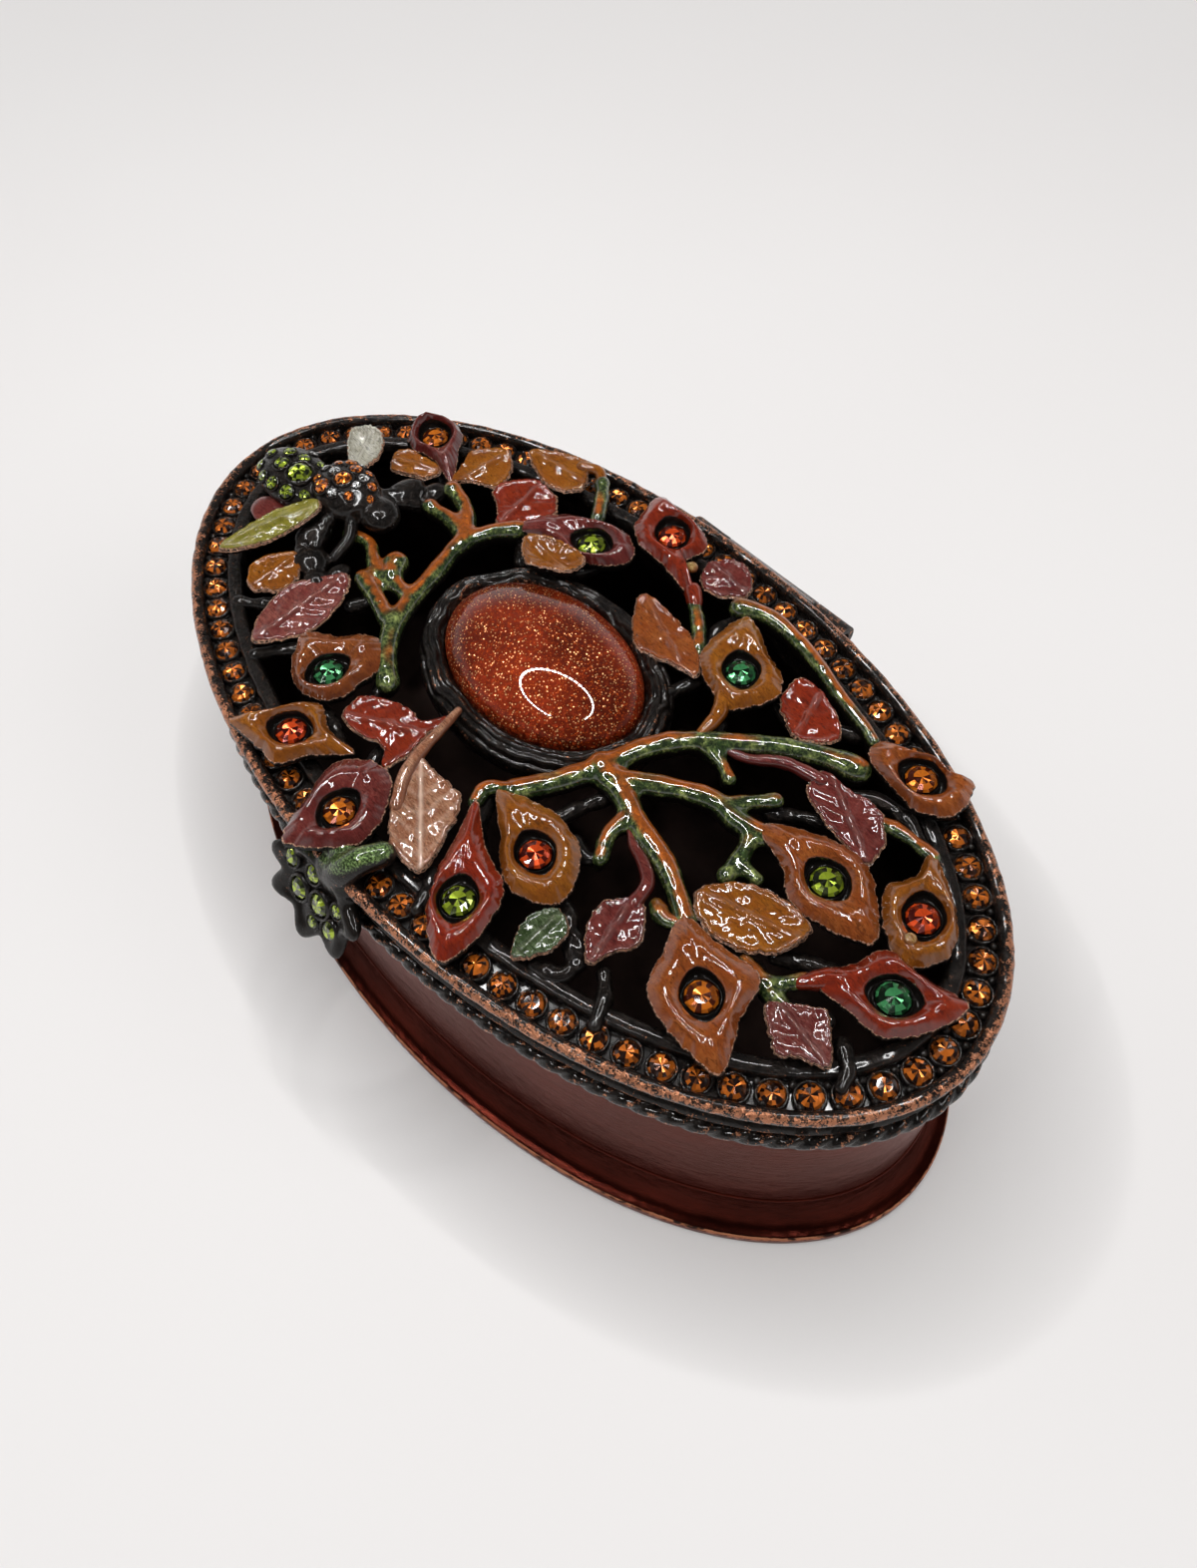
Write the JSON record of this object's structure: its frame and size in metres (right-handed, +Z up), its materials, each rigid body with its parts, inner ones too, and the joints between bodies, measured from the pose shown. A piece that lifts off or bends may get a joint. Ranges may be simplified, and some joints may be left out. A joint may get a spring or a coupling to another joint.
{
  "type": "oval enamelled trinket box",
  "caption": "Oval enamelled metal trinket box with a hinged lid of pierced branches and jewelled leaves round a domed stone, and a thumb tab at the front.",
  "frame": {"origin": "middle of the flat underside, on the crossing of the oval's two axes", "axes": "+Z up, +X along the oval's long axis to the right of someone facing the thumb tab, +Y towards the hinge at the back"},
  "size_m": [0.109, 0.0667, 0.0423],
  "materials": {
    "body_enamel": "glossy red-brown enamel, brushed on over cast metal",
    "rubbed_copper": "antique copper plate, rubbed bright on the edges",
    "black_metal": "black patina over cast metal, rubbed to copper on the high lines",
    "amber_glass": "foiled amber crystals set in black cups",
    "goldstone": "polished red-brown aventurine glass full of gold flecks",
    "branch_enamel": "metallic green enamel with rust-brown strokes",
    "ochre_enamel": "glossy ochre enamel",
    "brown_enamel": "glossy copper-brown enamel",
    "copper_enamel": "glossy copper-orange enamel",
    "red_enamel": "glossy brick-red enamel with a metallic shimmer",
    "plum_enamel": "glossy plum enamel with a metallic shimmer",
    "rose_gold_enamel": "mottled metallic rose and copper enamel",
    "wing_enamel": "yellow-green enamel with a pale speckled edge",
    "wing_pale": "pale pearl enamel",
    "orange_glass": "foiled cut crystal, orange",
    "red_glass": "foiled cut crystal, red-orange",
    "green_glass": "foiled cut crystal, green",
    "olive_glass": "foiled cut crystal, yellow-green"
  },
  "bodies": {
    "base": {"base_shell": "body_enamel", "base_hinge_knuckles": "rubbed_copper", "hinge_pin": "rubbed_copper"},
    "lid": {"lid_frame": "black_metal", "border_crystals": "amber_glass", "cabochon": "goldstone", "cabochon_bezel": "black_metal", "insect_body": "black_metal", "insect_wing_front": "wing_enamel", "insect_wing_back": "wing_pale", "branch_right": "branch_enamel", "branch_left": "branch_enamel", "branch_back": "branch_enamel", "thumb_tab": "black_metal", "jewel_leaf_ochre_front_left": "ochre_enamel", "stone_ochre_front_left": "red_glass", "jewel_leaf_brown_left": "brown_enamel", "stone_brown_left": "green_glass", "jewel_leaf_plum_front": "plum_enamel", "stone_plum_front": "orange_glass", "jewel_leaf_ochre_front_right": "ochre_enamel", "stone_ochre_front_right": "red_glass", "jewel_leaf_brick_front": "red_enamel", "stone_brick_front": "olive_glass", "jewel_leaf_copper_front_right": "copper_enamel", "stone_copper_front_right": "orange_glass", "jewel_leaf_red_right_end": "red_enamel", "stone_red_right_end": "green_glass", "jewel_leaf_copper_right": "copper_enamel", "stone_copper_right": "olive_glass", "jewel_leaf_ochre_right_end": "ochre_enamel", "stone_ochre_right_end": "red_glass", "jewel_leaf_copper_back_right": "copper_enamel", "stone_copper_back_right": "orange_glass", "jewel_leaf_ochre_back": "ochre_enamel", "stone_ochre_back": "green_glass", "jewel_leaf_red_back": "red_enamel", "stone_red_back": "red_glass", "jewel_leaf_plum_back_left": "plum_enamel", "stone_plum_back_left": "olive_glass", "jewel_leaf_mauve_left_end": "plum_enamel", "stone_mauve_left_end": "orange_glass", "leaf_rose_left": "plum_enamel", "leaf_ochre_left_end": "ochre_enamel", "leaf_red_front": "red_enamel", "leaf_rose_gold_front": "rose_gold_enamel", "leaf_plum_front_right": "plum_enamel", "leaf_ochre_right": "ochre_enamel", "leaf_mauve_right_end": "rose_gold_enamel", "leaf_plum_right": "plum_enamel", "leaf_red_back_right": "red_enamel", "leaf_ochre_by_cabochon": "ochre_enamel", "leaf_red_back_left": "red_enamel", "leaf_ochre_back_left": "ochre_enamel", "leaf_ochre_back_edge": "ochre_enamel", "leaf_ochre_by_insect": "ochre_enamel", "leaf_copper_back": "copper_enamel", "leaf_plum_back": "plum_enamel", "bud_green_front": "branch_enamel"}
  },
  "joints": [
    {"name": "lid_hinge", "type": "hinge", "parent": "base", "child": "lid", "pos_m": [0, 0.0313, 0.02945], "axis": [-1, 0, 0], "range_deg": [0, 100]}
  ]
}
